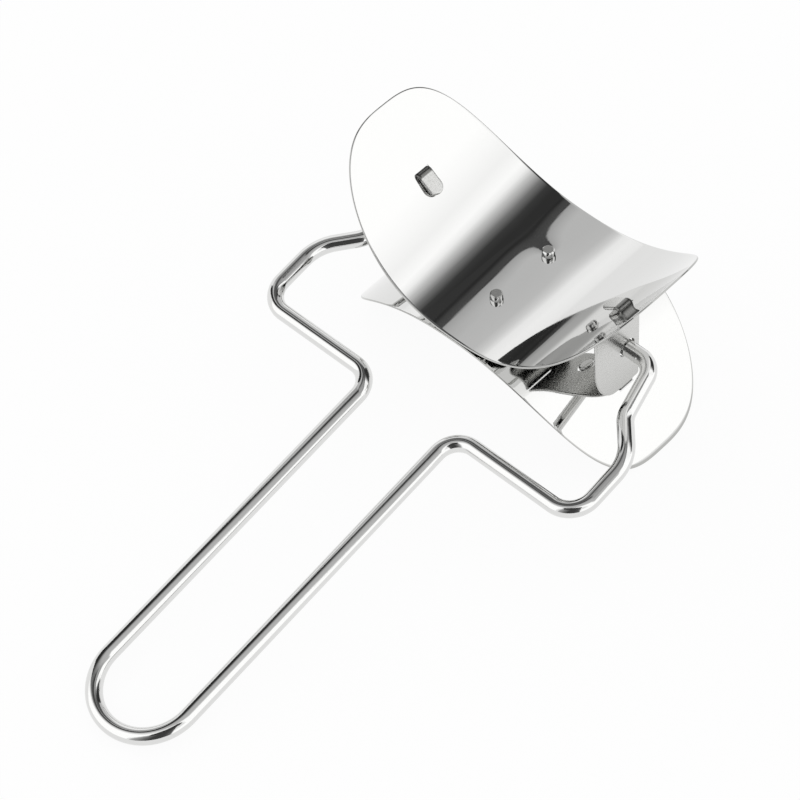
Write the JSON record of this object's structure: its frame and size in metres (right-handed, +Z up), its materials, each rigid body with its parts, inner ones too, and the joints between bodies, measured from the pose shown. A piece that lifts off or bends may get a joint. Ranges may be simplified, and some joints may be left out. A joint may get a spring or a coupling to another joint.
{
  "type": "rolling dough-round cutter",
  "caption": "Rolling cutter for rounds of dough: back-to-back trough blades of thin polished steel that spin between the hooked ends of a bent wire handle.",
  "frame": {"origin": "middle of the overall box, on the table that the tool stands on", "axes": "+X along the roller's axis to the right of a user holding the handle, +Y from the handle towards the roller, +Z up"},
  "size_m": [0.1002, 0.1637, 0.0569],
  "materials": {
    "bright_wire": "bright polished stainless steel wire",
    "mirror_sheet": "mirror-polished stainless steel sheet with fine handling scratches",
    "mill_finish_sheet": "grey mill-finish stainless steel sheet, slightly grainy",
    "rivet_steel": "cut and hammered steel rivet"
  },
  "bodies": {
    "handle": {"wire_handle": "bright_wire"},
    "roller": {"upper_blade": "mirror_sheet", "lower_blade": "mirror_sheet", "left_end_plate": "mill_finish_sheet", "right_end_plate": "mill_finish_sheet", "front_rivet": "rivet_steel", "rear_rivet": "rivet_steel"}
  },
  "joints": [
    {"name": "roller_spin", "type": "hinge", "parent": "handle", "child": "roller", "pos_m": [0, 0.05757, 0.02843], "axis": [1, 0, 0], "continuous": true}
  ]
}
